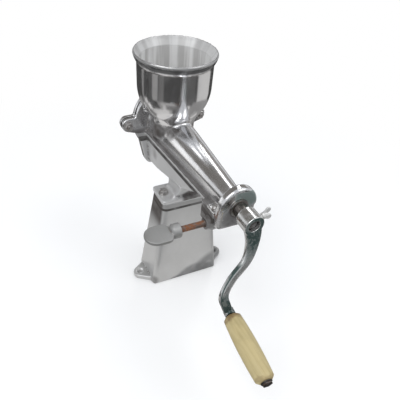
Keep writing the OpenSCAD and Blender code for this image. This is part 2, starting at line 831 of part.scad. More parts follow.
module choke_knob() color([0.74, 0.74, 0.74]) {
    lobe_r = 6;
    blade_t = 4;
    translate([spade_x, choke_y, choke_z]) rotate([0, -90, 0]) {
        cylinder(h = spade_boss_l, r = spade_boss_r, $fn = 48);
        translate([0, 0, spade_boss_l - EPS])
            cylinder(h = 3, r1 = spade_boss_r, r2 = spade_boss_r - 3, $fn = 48);
        hull() {
            translate([-2.5, 0, spade_boss_l - 3]) cube([5, 0.1, 5]);
            for (s = [-1, 1])
                translate([-blade_t / 2, s * (spade_r - lobe_r), spade_boss_l + 9]) rotate([0, 90, 0])
                    cylinder(h = blade_t, r = lobe_r, $fn = FACETS);
            translate([-blade_t / 2, 0, spade_l - spade_r]) rotate([0, 90, 0])
                cylinder(h = blade_t, r = spade_r, $fn = 48);
        }
    }
}

module choke_pad() color([0.6, 0.6, 0.62]) {
    w = chute_l - 2 * wall - 2 * side_gap;
    difference() {
        translate([pad_x, near_y + wall + side_gap, chute_z + 1]) cube([pad_t, w, chute_h - post_h - 2]);
        translate([pad_x - 1, choke_y, choke_z]) rotate([0, 90, 0])
            cylinder(h = 1 + pad_seat + side_gap, r = choke_r + run_gap, $fn = 48);
    }
}

// Crank

function blend(a, b, c, d, u) =
    0.5 * (2 * b + (c - a) * u + (2 * a - 5 * b + 4 * c - d) * u * u + (3 * b - a - 3 * c + d) * u * u * u);
function arm_key(k) = ARM[max(0, min(len(ARM) - 1, k))];
function arm_at(s) = let (k = floor(s))
    blend(arm_key(k - 1), arm_key(k), arm_key(k + 1), arm_key(k + 2), s - k);
function arm_center(s) = let (p = arm_at(s)) [p[0], -p[2] * out_scale + arm_t / 2, -p[1] * arm_scale];
function arm_ring(s) =
    let (c = arm_center(s),
         d = arm_center(s + 0.02) - arm_center(s - 0.02),
         u = [-d[2], 0, d[0]] / norm([d[0], d[2]]),
         w = arm_at(s)[3] / ARM_END[3] * arm_w / 2)
    [for (i = [0:section_n - 1])
        let (a = 360 * (i + 0.5) / section_n, ca = cos(a), sa = sin(a))
        c + u * w * sign(ca) * pow(abs(ca), 0.6) + [0, arm_t / 2 * sign(sa) * pow(abs(sa), 0.6), 0]];

module arm_body() {
    n = section_n;
    last = (len(ARM) - 1) * arm_n;
    rings = [for (i = [0:last]) arm_ring(min(i / arm_n, len(ARM) - 1.001))];
    polyhedron(
        points = [for (r = rings) each r],
        faces = concat(
            [[for (i = [0:n - 1]) n - 1 - i]],
            [[for (i = [0:n - 1]) last * n + i]],
            [for (j = [0:last - 1], i = [0:n - 1])
                [j * n + i, j * n + (i + 1) % n, (j + 1) * n + (i + 1) % n]],
            [for (j = [0:last - 1], i = [0:n - 1])
                [j * n + i, (j + 1) * n + (i + 1) % n, (j + 1) * n + i]]
        )
    );
}

module crank_arm() color([0.72, 0.73, 0.72]) {
    difference() {
        union() {
            on_axis(hub_y - hub_neck_l) cylinder(h = hub_l, r = hub_r, $fn = FN);
            on_axis(hub_y) cylinder(h = hub_neck_l + 1, r = hub_neck_r, $fn = FN);
            translate([0, hub_face_y, axis_z]) rotate([0, crank_angle, 0]) arm_body();
            on_pin(-boss_l) cylinder(h = boss_l, r = arm_w / 2 + 1, $fn = 48);
        }
        on_axis(hub_y + 1) cylinder(h = hub_neck_l + hub_l + 40, r = shaft_r + bolt_gap / 5, $fn = FN);
        on_pin(-boss_l - 1) cylinder(h = boss_l + 2, r = pin_r + bolt_gap / 5, $fn = 48);
        rotate_crank() translate([0, set_y, 0]) rotate([0, 90, 0])
            cylinder(h = hub_r + 5, r = set_r + run_gap, $fn = FACETS);
    }
}

module crank_set_screw() color([0.75, 0.75, 0.76]) {
    wing_t = 2.4;
    rotate_crank() translate([shaft_r - 1 + set_seat, set_y, 0]) rotate([0, 90, 0]) {
        cylinder(h = hub_r - shaft_r + 3, r = set_r, $fn = FACETS);
        translate([0, 0, hub_r - shaft_r + 2]) {
            cylinder(h = 5, r1 = 3.8, r2 = 4.2, $fn = FACETS);
            for (s = [-1, 1])
                hull() {
                    translate([s * 2, wing_t / 2, 2]) rotate([90, 0, 0])
                        cylinder(h = wing_t, r = 1.5, $fn = 24);
                    translate([s * 5.2, wing_t / 2, 8]) rotate([90, 0, 0])
                        cylinder(h = wing_t, r = 3, $fn = 24);
                }
        }
    }
}

// Handle

// Places children on the handle pin: Z runs along it from the arm's end outwards
module on_pin(z) {
    translate([pin_x, arm_end_y, pin_z]) rotate([90, 0, -pin_lean]) translate([0, 0, z]) children();
}

module handle_pin() color([0.35, 0.33, 0.32]) {
    on_pin(-boss_l)
        cylinder(h = boss_l + grip_set + grip_l + side_gap + end_washer_t + end_nut_t + 0.5,
                 r = pin_r, $fn = 48);
}

module handle() color([0.82, 0.74, 0.52]) {
    side = [for (i = [0:10]) let (u = i / 10)
        [grip_end_r + (grip_r - grip_end_r) * pow(sin(180 * (0.08 + 0.84 * u)), 0.7),
         2.5 + (grip_l - 5) * u]];
    on_pin(grip_set) difference() {
        rotate_extrude($fn = FN) polygon(concat(
            [[0, 0], [grip_end_r - 1.5, 0]], side, [[grip_end_r - 1.5, grip_l], [0, grip_l]]
        ));
        translate([0, 0, -1]) cylinder(h = grip_l + 2, r = pin_r + run_gap, $fn = 48);
    }
}

module handle_washer() color([0.6, 0.6, 0.62]) {
    on_pin(grip_set + grip_l + side_gap) difference() {
        cylinder(h = end_washer_t, r = pin_r + 3, $fn = 48);
        translate([0, 0, -1]) cylinder(h = end_washer_t + 2, r = pin_r + bolt_gap / 5, $fn = 48);
    }
}

module handle_nut() color([0.5, 0.48, 0.47]) {
    on_pin(grip_set + grip_l + side_gap + end_washer_t) difference() {
        hex(pin_r + 2.5, end_nut_t);
        translate([0, 0, -1]) cylinder(h = end_nut_t + 2, r = pin_r + bolt_gap / 5, $fn = 48);
    }
}

pedestal();
upper_housing();
juice_trough();
strainer();
auger();
end_cover();
cover_gasket();
rear_bushing();
front_bushing();
thrust_washer();
cover_bolts();
cover_washers();
cover_nuts();
lip_bolts();
foot_bolts();
foot_washers();
foot_nuts();
choke_screw();
choke_knob();
choke_pad();
crank_arm();
crank_set_screw();
handle_pin();
handle();
handle_washer();
handle_nut();
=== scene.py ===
import math

import bmesh
import bpy
import numpy as np
from mathutils import Matrix, Vector


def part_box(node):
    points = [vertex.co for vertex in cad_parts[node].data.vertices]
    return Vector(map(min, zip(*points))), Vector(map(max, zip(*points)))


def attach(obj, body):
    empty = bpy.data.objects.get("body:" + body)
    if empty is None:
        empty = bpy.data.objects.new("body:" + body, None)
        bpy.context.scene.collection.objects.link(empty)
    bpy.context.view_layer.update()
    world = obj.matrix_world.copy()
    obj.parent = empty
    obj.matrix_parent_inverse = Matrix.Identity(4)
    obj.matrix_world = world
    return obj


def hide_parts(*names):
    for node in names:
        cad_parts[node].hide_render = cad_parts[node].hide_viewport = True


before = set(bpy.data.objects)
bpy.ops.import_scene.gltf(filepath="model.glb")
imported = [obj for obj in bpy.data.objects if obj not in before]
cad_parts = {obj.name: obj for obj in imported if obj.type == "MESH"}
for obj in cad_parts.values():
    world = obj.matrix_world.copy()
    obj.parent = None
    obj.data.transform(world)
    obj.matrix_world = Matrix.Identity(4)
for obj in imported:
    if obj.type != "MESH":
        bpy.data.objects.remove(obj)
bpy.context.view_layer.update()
MM = 0.001

# Values of part.scad, in mm and degrees
AXIS_Z = 220
PART_Z = 208
NEAR_Y = -127
FAR_Y = 79
TUBE_NEAR, TUBE_FAR = 13, 26
HOPPER_Y = 47
WALL = 3.5
CUP_R, CUP_UP, CUP_ARC = 47.6, 58, 44.6
NECK_R, NECK_UP = 29, 9
RIM_UP, RIM_H, RIM_R = 95, 9, 52
CRANK_R, CRANK_ANGLE, ARM_END_Y = 111, 14, -204.5
PIN_LEAN, GRIP_SET = 5, 2.5
GRIP_L, GRIP_R, END_R, BORE_R = 92, 13, 10.5, 4.06

# Colours used by more than one material
# The second colour is painted shade in most places and grime at the neck's root; the third is a painted
# dark reflection
PATINA, SHADE_AND_GRIME, PAINTED_REFLECTION_GREY = (0.12, 0.17, 0.155), (0.06, 0.052, 0.048), (0.13, 0.13, 0.13)


# Short calls for nodes

def shaded(color, share):
    """The colour at a share of its brightness."""
    return tuple(c * share for c in color)


class Tree:
    """Short calls for a material's nodes."""

    def __init__(self, name):
        self.material = bpy.data.materials.new(name)
        self.material.use_nodes = True
        self.tree = self.material.node_tree
        self.tree.nodes.clear()
        self.coords = self.add("ShaderNodeTexCoord").outputs["Object"]

    def add(self, kind, **props):
        node = self.tree.nodes.new(kind)
        for key, value in props.items():
            setattr(node, key, value)
        return node

    def put(self, socket, value):
        """Links a socket to another one, or sets its value. A colour is three numbers."""
        if isinstance(value, bpy.types.NodeSocket):
            self.tree.links.new(value, socket)
        elif socket.type == "RGBA":
            socket.default_value = (*value, 1)
        else:
            socket.default_value = value

    def math(self, operation, *values):
        node = self.add("ShaderNodeMath", operation=operation)
        for socket, value in zip(node.inputs, values):
            self.put(socket, value)
        return node.outputs[0]

    def chain(self, operation, *values):
        """Joins any number of values by one math operation."""
        result = values[0]
        for value in values[1:]:
            result = self.math(operation, result, value)
        return result

    def times(self, *values):
        return self.chain("MULTIPLY", *values)

    def plus(self, *values):
        return self.chain("ADD", *values)

    def largest(self, *values):
        return self.chain("MAXIMUM", *values)

    def one_minus(self, value):
        return self.math("SUBTRACT", 1.0, value)

    def vector_math(self, operation, a, b=None):
        """The outputs of a vector math node: "Vector" and "Value"."""
        node = self.add("ShaderNodeVectorMath", operation=operation)
        self.put(node.inputs[0], a)
        if b is not None:
            self.put(node.inputs[1], b)
        return node.outputs

    def vector(self, x, y, z=0.0):
        node = self.add("ShaderNodeCombineXYZ")
        for socket, value in zip(node.inputs, (x, y, z)):
            self.put(socket, value)
        return node.outputs[0]

    def split(self, at=None):
        node = self.add("ShaderNodeSeparateXYZ")
        self.put(node.inputs[0], at or self.coords)
        return node.outputs

    def normal(self):
        """The surface's direction in the piece's own frame, so it turns with the piece."""
        return self.split(self.add("ShaderNodeTexCoord").outputs["Normal"])

    def noise(self, scale, detail=3.0, rough=0.5, at=None, stretch=None):
        """Noise from 0 to 1; scale is in features for each metre, stretch scales the axes."""
        at = at or self.coords
        if stretch:
            mapping = self.add("ShaderNodeMapping")
            self.put(mapping.inputs["Vector"], at)
            mapping.inputs["Scale"].default_value = stretch
            at = mapping.outputs[0]
        node = self.add("ShaderNodeTexNoise")
        self.put(node.inputs["Vector"], at)
        node.inputs["Scale"].default_value = scale
        node.inputs["Detail"].default_value = detail
        node.inputs["Roughness"].default_value = rough
        return node.outputs["Fac"]

    def ramp(self, x, low, high, at_low=0.0, at_high=1.0):
        """A smooth step: at_low where x is under low, at_high where it is over high."""
        node = self.add("ShaderNodeMapRange", clamp=True, interpolation_type="SMOOTHSTEP")
        for socket, value in zip(node.inputs, (x, low, high, at_low, at_high)):
            self.put(socket, value)
        return node.outputs[0]

    def ramp_mm(self, x, low, high, at_low=0.0, at_high=1.0):
        """The same along a coordinate, with low and high in mm."""
        return self.ramp(x, low * MM, high * MM, at_low, at_high)

    def near(self, point, radius, soft):
        """1 within radius of a point in mm, fading to 0 over soft."""
        distance = self.vector_math("DISTANCE", self.coords, [c * MM for c in point])["Value"]
        return self.ramp_mm(distance, radius, radius + soft, 1.0, 0.0)

    def crease(self, low=0.47, high=0.5):
        """1 in hollow edges of a dense mesh, 0 on its faces."""
        geometry = self.add("ShaderNodeNewGeometry")
        return self.ramp(geometry.outputs["Pointiness"], low, high, 1.0, 0.0)

    def mix(self, share, a, b):
        node = self.add("ShaderNodeMix", data_type="RGBA", clamp_factor=True)
        self.put(node.inputs["Factor"], share)
        colors = [s for s in node.inputs if s.type == "RGBA"]
        self.put(colors[0], a)
        self.put(colors[1], b)
        return [s for s in node.outputs if s.type == "RGBA"][0]

    def bump(self, height, distance, strength=1.0, normal=None):
        """Relief of distance in mm, over another one where normal is given."""
        node = self.add("ShaderNodeBump")
        node.inputs["Strength"].default_value = strength
        node.inputs["Distance"].default_value = distance * MM
        self.put(node.inputs["Height"], height)
        if normal is not None:
            self.put(node.inputs["Normal"], normal)
        return node.outputs[0]

    def emission(self, color):
        node = self.add("ShaderNodeEmission")
        self.put(node.inputs["Color"], color)
        return node.outputs[0]

    def close(self, shader):
        """Ends the material with a shader's output."""
        output = self.add("ShaderNodeOutputMaterial")
        self.tree.links.new(shader, output.inputs["Surface"])
        return self.material

    def finish(self, color, rough, metallic=1.0, normal=None, **extra):
        """Ends the material with a surface of one colour, roughness and relief."""
        shader = self.add("ShaderNodeBsdfPrincipled")
        self.put(shader.inputs["Base Color"], color)
        self.put(shader.inputs["Roughness"], rough)
        self.put(shader.inputs["Metallic"], metallic)
        if normal is not None:
            self.put(shader.inputs["Normal"], normal)
        for key, value in extra.items():
            self.put(shader.inputs[key.replace("_", " ")], value)
        return self.close(shader.outputs[0])


# Materials

def cast_metal(name, color, rough, stain_and_shade=(0.24, 0.19, 0.16), crease_darkening=0.5, wave=0.12,
               spots=(), band=None, metallic=1.0, films_and_shades=(), foot=None, shade=None):
    """Polished or satin cast aluminium: slow waves, fine scratches, grime and painted shade in corners.
    Places are in mm. spots are stains (point, radius, soft, amount). band is a painted shadow between
    two heights on upright faces. films are layers (point, radius, soft, amount, color): patina, grime,
    painted shade and painted dark reflections. foot is painted shade (z1, z2, y) that fades out from
    height z1 to z2, behind y. shade is painted shade on the left side that grows from height z1 to z2."""
    band_edge, foot_edge, cover = 0.8, 3, 0.8
    t = Tree(name)
    _, y, z = t.split()
    cloud = t.noise(28, 4, 0.6)
    fine = t.noise(900, 3, 0.6)
    scratch = t.noise(420, 2, 0.5, stretch=(1, 0.06, 1))
    # Hollow corners darken in the darker colour: grime and painted shade
    dirt_and_shade = t.times(t.crease(), t.ramp(t.noise(260, 4, 0.65), 0.38, 0.62), crease_darkening)
    for point, radius, soft, amount in spots:
        patchy = t.ramp(t.noise(330, 5, 0.7), 0.36, 0.6, 0.35, 1.0)
        dirt_and_shade = t.largest(dirt_and_shade, t.times(t.near(point, radius, soft), patchy, amount))
    # The band is a painted shadow under an overhanging lip or cap
    if band:
        upright = t.ramp(t.normal()[2], 0.3, 0.6, 1.0, 0.0)
        inside = t.times(t.ramp_mm(z, band[0] - band_edge, band[0]), upright,
                         t.ramp_mm(z, band[1], band[1] + band_edge, 1.0, 0.3))
        dirt_and_shade = t.largest(dirt_and_shade, t.times(inside, t.ramp(cloud, 0.3, 0.6, 0.6, 0.95)))
    tone = t.mix(t.ramp(cloud, 0.35, 0.65), shaded(color, 0.93), color)
    base = t.mix(dirt_and_shade, tone, stain_and_shade)

    # foot and shade lay painted shade; the films lay patina, grime, painted shade and painted dark
    # reflections
    layers = []
    uneven = t.ramp(cloud, 0.3, 0.6, 0.78, 1.0)
    if foot:
        behind = t.ramp_mm(y, foot[2], foot[2] + foot_edge)
        layers.append((t.times(t.ramp_mm(z, foot[0], foot[1], 0.9, 0.0), behind, uneven), SHADE_AND_GRIME))
    if shade:
        left = t.ramp(t.normal()[0], -0.95, -0.7, 1.0, 0.0)
        layers.append((t.times(t.ramp_mm(z, shade[0], shade[1], 0.0, 0.97), left, uneven), SHADE_AND_GRIME))
    for point, radius, soft, amount, layer in films_and_shades:
        thin = t.ramp(t.noise(90, 3, 0.5), 0.3, 0.6, 0.78, 1.0)
        layers.append((t.times(t.near(point, radius, soft), thin, amount), layer))
    for mask, layer in layers:
        base = t.mix(mask, base, layer)
        metallic = t.times(metallic, t.one_minus(t.times(mask, cover)))

    roughness = t.plus(t.ramp(cloud, 0.3, 0.7, rough * 0.85, rough * 1.2),
                       t.ramp(scratch, 0.45, 0.75, 0.0, 0.06), t.times(dirt_and_shade, 0.35))
    relief = t.bump(t.noise(85, 2, 0.4), wave)
    relief = t.bump(scratch, 0.01, 0.5, relief)
    relief = t.bump(t.times(fine, t.plus(dirt_and_shade, 0.12)), 0.12, 0.7, relief)
    return t.finish(base, roughness, metallic=metallic, normal=relief, Specular_IOR_Level=0.3)


def hopper_metal(name, color, rough, aniso, reflection_streaks=0.0, metallic=1.0, dull=None,
                 dull_share=0.5, dull_color=(0.36, 0.36, 0.36)):
    """Turned and polished: fine rings round the hopper's axis, so reflections draw out up and down.
    streaks darkens upright bands round the axis as painted reflection streaks. dull is the height
    in mm where a duller, darker rim starts, and worn is its share of dull_color."""
    streak_reflection_color, dirt_and_shade_color = (0.3, 0.29, 0.28), (0.25, 0.21, 0.18)
    rim_below, rim_above = 1.5, 1
    t = Tree(name)
    x, y, z = t.split()
    y = t.math("SUBTRACT", y, HOPPER_Y * MM)
    around = t.vector_math("NORMALIZE", t.vector(t.times(y, -1.0), x))["Vector"]
    rings = t.noise(1700, 2, 0.5, stretch=(0.02, 0.02, 1))
    cloud = t.noise(30, 4, 0.6)
    # Hollow edges darken: grime and painted shade
    dirt_and_shade = t.times(t.crease(), t.ramp(t.noise(240, 4, 0.65), 0.4, 0.62))
    tone = t.mix(t.ramp(cloud, 0.35, 0.65), shaded(color, 0.92), color)
    # Painted reflection streaks: darker upright bands round the axis
    if reflection_streaks:
        side_x, side_y = t.split(around)[:2]
        upright = t.noise(3.4, 3, 0.6, at=t.vector(side_x, side_y, t.times(z, 1.5)))
        tone = t.mix(t.ramp(upright, 0.38, 0.56, reflection_streaks, 0.0), tone, streak_reflection_color)
    base = t.mix(t.times(dirt_and_shade, 0.6), tone, dirt_and_shade_color)
    if dull:
        rim = t.ramp_mm(z, dull - rim_below, dull + rim_above)
        base = t.mix(t.times(rim, dull_share), base, dull_color)
        metallic = t.times(metallic, t.one_minus(t.times(rim, 0.6)))
    roughness = t.ramp(t.noise(60, 4, 0.6), 0.35, 0.7, rough * 0.8, rough * 1.25)
    relief = t.bump(rings, 0.02, 0.5, t.bump(t.noise(45, 2, 0.4), 0.2))
    return t.finish(base, roughness, metallic=metallic, normal=relief, Anisotropic=aniso,
                    Anisotropic_Rotation=0.25, Tangent=around)


def tarnished(name):
    """The crank: bright where hands and cloth reach, with a dark green-black film on its faces,
    and a painted shadow in dark brown at the hub's back end.
    """
    bright, film_color, seat_shadow_color = (0.7, 0.705, 0.7), (0.02, 0.045, 0.041), (0.09, 0.07, 0.055)
    # Heights in mm: the faces' film grows up to the hub, the boss's and the side's end above them
    hub_z, boss_z, side_z = (168, 192), (139, 152), (170, 180)
    seat_shadow_y = (-152.5, -149)
    t = Tree(name)
    _, y, z = t.split()
    nx, ny = t.normal()[:2]
    face = t.times(t.ramp(t.math("ABSOLUTE", ny), 0.45, 0.85), t.ramp_mm(z, *hub_z, 0.25, 1.0))
    boss = t.times(t.ramp_mm(z, *boss_z, 1.0, 0.0), t.ramp(nx, -0.5, -0.3))
    side = t.times(t.ramp(nx, -0.42, -0.1, 1.0, 0.0), t.ramp(nx, -0.85, -0.6),
                   t.ramp_mm(z, *side_z, 0.97, 0.0))
    patchy = t.largest(t.ramp(t.noise(75, 5, 0.62), 0.3, 0.52), 0.85)
    film = t.largest(t.times(t.largest(face, boss), patchy), t.crease(0.46, 0.5))
    film = t.times(film, t.ramp(t.noise(500, 3, 0.6), 0.25, 0.5, 0.78, 0.97))
    film = t.largest(film, side)
    base = t.mix(film, bright, film_color)
    # Painted shadow: the hub's back end, toward the plate, turns dark brown
    base = t.mix(t.ramp_mm(y, *seat_shadow_y, 0.0, 0.85), base, seat_shadow_color)
    roughness = t.plus(t.ramp(t.noise(140, 4, 0.6), 0.3, 0.7, 0.16, 0.3), t.times(film, 0.15))
    relief = t.bump(t.noise(120, 3, 0.5), 0.2, 0.8, t.bump(t.noise(1200, 2, 0.5), 0.03))
    return t.finish(base, roughness, metallic=t.one_minus(t.times(film, 0.8)), normal=relief,
                    Specular_IOR_Level=0.15)


def rusty(name):
    """Threaded steel under rust, with bare grey patches."""
    dark_rust, light_rust, bare = (0.13, 0.045, 0.02), (0.33, 0.14, 0.06), (0.2, 0.16, 0.14)
    t = Tree(name)
    patch = t.ramp(t.noise(170, 6, 0.7), 0.38, 0.6)
    grain = t.noise(1500, 4, 0.7)
    rust = t.mix(t.ramp(grain, 0.3, 0.7), dark_rust, light_rust)
    roughness = t.ramp(patch, 0.0, 1.0, 0.85, 0.42)
    return t.finish(t.mix(patch, rust, bare), roughness, metallic=t.times(patch, 0.75),
                    normal=t.bump(grain, 0.15, 0.8))


def steel(name, color=(0.55, 0.54, 0.53), rough=0.3, rust=0.3):
    """Plain steel with a share of brown rust in patches."""
    rust_color = (0.19, 0.1, 0.06)
    t = Tree(name)
    patch = t.times(t.ramp(t.noise(300, 5, 0.65), 0.48, 0.68), rust)
    roughness = t.plus(t.ramp(t.noise(700, 3, 0.6), 0.3, 0.7, rough * 0.8, rough * 1.25),
                       t.times(patch, 0.4))
    return t.finish(t.mix(patch, color, rust_color), roughness,
                    normal=t.bump(t.noise(1400, 3, 0.6), 0.04, 0.8))


def bronze(name):
    """Sintered bronze, a little uneven in tone."""
    dark, light = (0.5, 0.33, 0.14), (0.66, 0.47, 0.22)
    t = Tree(name)
    tone = t.mix(t.ramp(t.noise(250, 4, 0.6), 0.35, 0.65), dark, light)
    roughness = t.ramp(t.noise(600, 3, 0.6), 0.3, 0.7, 0.28, 0.42)
    return t.finish(tone, roughness, normal=t.bump(t.noise(1300, 3, 0.6), 0.03))


def rubber(name):
    """Black gasket sheet with a fine grain."""
    dark, light = (0.02, 0.02, 0.02), (0.05, 0.05, 0.048)
    t = Tree(name)
    tone = t.mix(t.noise(500, 4, 0.6), dark, light)
    roughness = t.ramp(t.noise(300, 3, 0.6), 0.3, 0.7, 0.55, 0.75)
    return t.finish(tone, roughness, metallic=0.0, normal=t.bump(t.noise(1500, 3, 0.6), 0.1))


def wood(name, start, along, length):
    """Pale turned wood: grain along the grip, hand grime, a burnt brown ring at the crank's end.
    start is the grip's end at the crank in mm, along its direction away from there."""
    pale, figure_color = (0.53, 0.44, 0.225), (0.45, 0.36, 0.168)
    pore, grime = (0.3, 0.21, 0.09), (0.35, 0.29, 0.15)
    burnt, end_grime = (0.17, 0.1, 0.035), (0.2, 0.13, 0.06)
    burnt_from, burnt_to, end_from, end_to = 1, 13, length - 5, length - 1
    t = Tree(name)
    from_start = t.vector_math("SUBTRACT", t.coords, [c * MM for c in start])["Vector"]
    far = t.vector_math("DOT_PRODUCT", from_start, along)["Value"]
    grain = t.noise(330, 4, 0.55, stretch=(1, 0.045, 1))
    fibre = t.noise(1500, 3, 0.6, stretch=(1, 0.02, 1))

    mapping = t.add("ShaderNodeMapping")
    t.put(mapping.inputs["Vector"], t.coords)
    mapping.inputs["Rotation"].default_value = (0, 0, math.atan2(along[0], -along[1]))
    mapping.inputs["Scale"].default_value = (1, 0.06, 0.5)
    bands = t.add("ShaderNodeTexWave", wave_type="BANDS", bands_direction="X")
    t.put(bands.inputs["Vector"], mapping.outputs[0])
    bands.inputs["Scale"].default_value = 55
    bands.inputs["Distortion"].default_value = 6
    bands.inputs["Detail"].default_value = 2

    tone = t.mix(t.times(bands.outputs["Fac"], t.ramp(grain, 0.3, 0.7)), pale, figure_color)
    tone = t.mix(t.ramp(fibre, 0.55, 0.75, 0.0, 0.35), tone, pore)
    tone = t.mix(t.ramp(t.noise(38, 5, 0.6), 0.42, 0.68, 0.0, 0.35), tone, grime)
    edge = t.plus(far, t.ramp(t.noise(120, 4, 0.6), 0.2, 0.8, -6 * MM, 6 * MM))
    tone = t.mix(t.ramp_mm(edge, burnt_from, burnt_to, 0.85, 0.0), tone, burnt)
    tone = t.mix(t.ramp_mm(edge, end_from, end_to, 0.0, 0.4), tone, end_grime)
    relief = t.bump(fibre, 0.08, 0.6, t.bump(grain, 0.12, 0.5))
    return t.finish(tone, t.ramp(grain, 0.3, 0.7, 0.38, 0.55), metallic=0.0, normal=relief,
                    Coat_Weight=0.12, Coat_Roughness=0.35)


# Meshes and pieces

def new_object(name, verts, faces):
    mesh = bpy.data.meshes.new(name)
    mesh.from_pydata([tuple(v) for v in verts], [], faces)
    mesh.validate()
    piece = bpy.data.objects.new(name, mesh)
    bpy.context.collection.objects.link(piece)
    return piece


def fix_normals(mesh):
    bm = bmesh.new()
    bm.from_mesh(mesh)
    bmesh.ops.recalc_face_normals(bm, faces=bm.faces)
    bm.to_mesh(mesh)
    bm.free()


def smooth_shade(mesh):
    mesh.polygons.foreach_set("use_smooth", [True] * len(mesh.polygons))


def node_copy(node, name):
    """A piece with the node's own mesh, its split vertices joined."""
    same_place = 2e-6
    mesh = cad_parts[node].data.copy()
    mesh.materials.clear()
    bm = bmesh.new()
    bm.from_mesh(mesh)
    bmesh.ops.remove_doubles(bm, verts=bm.verts, dist=same_place)
    bm.to_mesh(mesh)
    bm.free()
    if mesh.has_custom_normals:
        mesh.normals_split_custom_set([(0, 0, 0)] * len(mesh.loops))
    piece = bpy.data.objects.new(name, mesh)
    bpy.context.collection.objects.link(piece)
    return piece


def apply_modifiers(piece):
    scene_now = bpy.context.evaluated_depsgraph_get()
    mesh = bpy.data.meshes.new_from_object(piece.evaluated_get(scene_now))
    piece.modifiers.clear()
    piece.data = mesh


def done(piece, body, materials, *nodes):
    """Gives a piece its materials and its body, in place of the frame's own nodes."""
    piece.data.materials.clear()
    for material in materials:
        piece.data.materials.append(material)
    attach(piece, body)
    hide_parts(*nodes)


def cast(node, name, voxel, rounds, shape=None, soft=None, more=0):
    """The node's form with the soft edges and fillets of a casting, voxel in mm.
    soft(p) weighs the rounds of smoothing at the points p in mm. Where it is over 1, more rounds
    follow. shape(p) moves the points at the end."""
    pull = 0.5  # share of the way to the neighbours' middle in one round
    piece = node_copy(node, name)
    remesh = piece.modifiers.new("voxels", "REMESH")
    remesh.mode = "VOXEL"
    remesh.voxel_size = voxel * MM
    apply_modifiers(piece)
    mesh = piece.data
    count = len(mesh.vertices)
    points = np.empty(count * 3)
    mesh.vertices.foreach_get("co", points)
    points = points.reshape(-1, 3) / MM
    ends = np.empty(len(mesh.edges) * 2, int)
    mesh.edges.foreach_get("vertices", ends)
    one, other = np.concatenate([ends[0::2], ends[1::2]]), np.concatenate([ends[1::2], ends[0::2]])
    neighbours = np.maximum(np.bincount(one, minlength=count), 1)[:, None]
    amount = soft(points) if soft else np.ones(count)
    for k in range(rounds + more):
        step = np.clip(amount if k < rounds else amount - 1, 0, 1)
        sums = [np.bincount(one, points[other, i], count) for i in range(3)]
        points += pull * step[:, None] * (np.stack(sums, axis=1) / neighbours - points)
    if shape:
        points = shape(points)
    mesh.vertices.foreach_set("co", (points * MM).ravel())
    mesh.update()
    smooth_shade(mesh)
    return piece


def bevelled(node, name, width):
    """The node's form with its sharp edges broken, width in mm and angles in degrees."""
    flat, broken, sharp = 0.5, 35, 32
    piece = node_copy(node, name)
    bm = bmesh.new()
    bm.from_mesh(piece.data)
    bmesh.ops.dissolve_limit(bm, angle_limit=math.radians(flat), verts=bm.verts, edges=bm.edges)
    bm.to_mesh(piece.data)
    bm.free()
    bevel = piece.modifiers.new("edges", "BEVEL")
    bevel.width = width * MM
    bevel.segments = 2
    bevel.limit_method = "ANGLE"
    bevel.angle_limit = math.radians(broken)
    bevel.harden_normals = False
    apply_modifiers(piece)
    smooth_shade(piece.data)
    piece.data.set_sharp_from_angle(angle=math.radians(sharp))
    return piece


def lathe(name, start, along, profile, sides=72):
    """A closed turned piece: profile is (distance, r) in mm from start in the direction along."""
    start, along = Vector(start), Vector(along).normalized()
    u = along.orthogonal().normalized()
    v = along.cross(u)
    verts = []
    for distance, r in profile:
        for k in range(sides):
            a = 2 * math.pi * k / sides
            outward = u * math.cos(a) + v * math.sin(a)
            verts.append((start + along * distance + outward * r) * MM)
    faces = []
    for j in range(len(profile)):
        ring, after = j * sides, (j + 1) % len(profile) * sides
        for k in range(sides):
            beside = (k + 1) % sides
            faces.append((ring + k, ring + beside, after + beside, after + k))
    piece = new_object(name, verts, faces)
    fix_normals(piece.data)
    return piece


# The hopper's side: a wide arc for the cup over a hollow arc for the neck, as in part.scad

CUP_MID = CUP_R - CUP_ARC
RISE = CUP_UP - NECK_UP
NECK_DX = NECK_R - CUP_MID
NECK_ARC = (NECK_DX ** 2 + RISE ** 2 - CUP_ARC ** 2) / (2 * (CUP_ARC - NECK_DX))
NECK_MID = NECK_R + NECK_ARC
TURN_UP = NECK_UP + NECK_ARC * math.sin(math.atan2(RISE, NECK_MID - CUP_MID))


def cup_radius(up, inset):
    """Radius of the cup's side at a height over the axis, set inwards by inset."""
    neck = (NECK_ARC + inset) ** 2 - (up - NECK_UP) ** 2
    cup = (CUP_ARC - inset) ** 2 - np.maximum(CUP_UP - up, 0) ** 2
    low = NECK_MID - np.sqrt(np.maximum(neck, 0))
    high = CUP_MID + np.sqrt(np.maximum(cup, 0))
    return np.where(up < TURN_UP, low, high)


def rise_from(x, start, length):
    """0 up to start, then straight to 1 over length."""
    return np.clip((x - start) / length, 0, 1)


def fall_to(x, end, length):
    """1, then straight to 0 over the length before end."""
    return np.clip((end - x) / length, 0, 1)


def weight(gap, full, none):
    """1 where a gap is under full, 0 where it is over none, smooth between."""
    w = fall_to(gap, none, none - full)
    return w * w * (3 - 2 * w)


